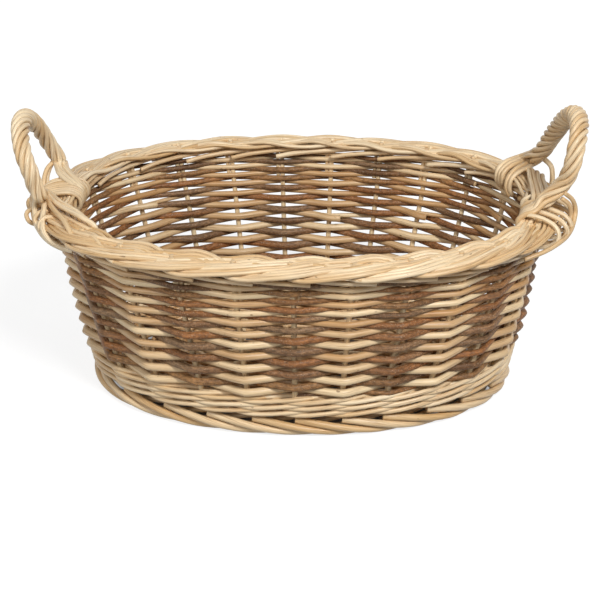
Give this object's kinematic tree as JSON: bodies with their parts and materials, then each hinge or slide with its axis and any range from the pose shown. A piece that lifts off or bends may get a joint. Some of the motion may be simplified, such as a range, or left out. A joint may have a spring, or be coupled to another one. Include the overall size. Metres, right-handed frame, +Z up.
{
  "type": "wicker basket",
  "caption": "Oval wicker basket with flared sides in a light and dark chased weave, a plaited border, a roped foot, an open top and a roped ear handle at each end.",
  "frame": {"origin": "on the floor, under the middle of the foot", "axes": "+X along the long axis of the oval, from the left handle to the right one, +Y towards the back, +Z up"},
  "size_m": [0.4492, 0.3013, 0.2365],
  "materials": {
    "buff_willow": "satin, peeled rods with a faint grain along them",
    "brown_willow": "matt bark, mottled from dark brown to grey brown",
    "pale_willow": "satin, peeled pale rods"
  },
  "bodies": {
    "root": {"base_sticks": "buff_willow", "base_weaver_1": "buff_willow", "base_weaver_2": "buff_willow", "border_strand_1": "pale_willow", "border_strand_2": "pale_willow", "border_strand_3": "pale_willow", "brown_weaver_01": "brown_willow", "brown_weaver_02": "brown_willow", "brown_weaver_03": "brown_willow", "brown_weaver_04": "brown_willow", "brown_weaver_05": "brown_willow", "brown_weaver_06": "brown_willow", "brown_weaver_07": "brown_willow", "brown_weaver_08": "brown_willow", "brown_weaver_09": "brown_willow", "brown_weaver_10": "brown_willow", "brown_weaver_11": "brown_willow", "brown_weaver_12": "brown_willow", "buff_weaver_01": "buff_willow", "buff_weaver_02": "buff_willow", "buff_weaver_03": "buff_willow", "buff_weaver_04": "buff_willow", "buff_weaver_05": "buff_willow", "buff_weaver_06": "buff_willow", "buff_weaver_07": "buff_willow", "buff_weaver_08": "buff_willow", "buff_weaver_09": "buff_willow", "buff_weaver_10": "buff_willow", "buff_weaver_11": "buff_willow", "buff_weaver_12": "buff_willow", "foot_border": "pale_willow", "handle_left": "pale_willow", "handle_right": "pale_willow", "stake_01": "buff_willow", "stake_02": "buff_willow", "stake_03": "buff_willow", "stake_04": "buff_willow", "stake_05": "buff_willow", "stake_06": "buff_willow", "stake_07": "buff_willow", "stake_08": "buff_willow", "stake_09": "buff_willow", "stake_10": "buff_willow", "stake_11": "buff_willow", "stake_12": "buff_willow", "stake_13": "buff_willow", "stake_14": "buff_willow", "stake_15": "buff_willow", "stake_16": "buff_willow", "stake_17": "buff_willow", "stake_18": "buff_willow", "stake_19": "buff_willow", "stake_20": "buff_willow", "stake_21": "buff_willow", "stake_22": "buff_willow", "stake_23": "buff_willow", "stake_24": "buff_willow", "wale_rod_1": "pale_willow", "wale_rod_2": "pale_willow", "wale_rod_3": "pale_willow"}
  },
  "joints": []
}
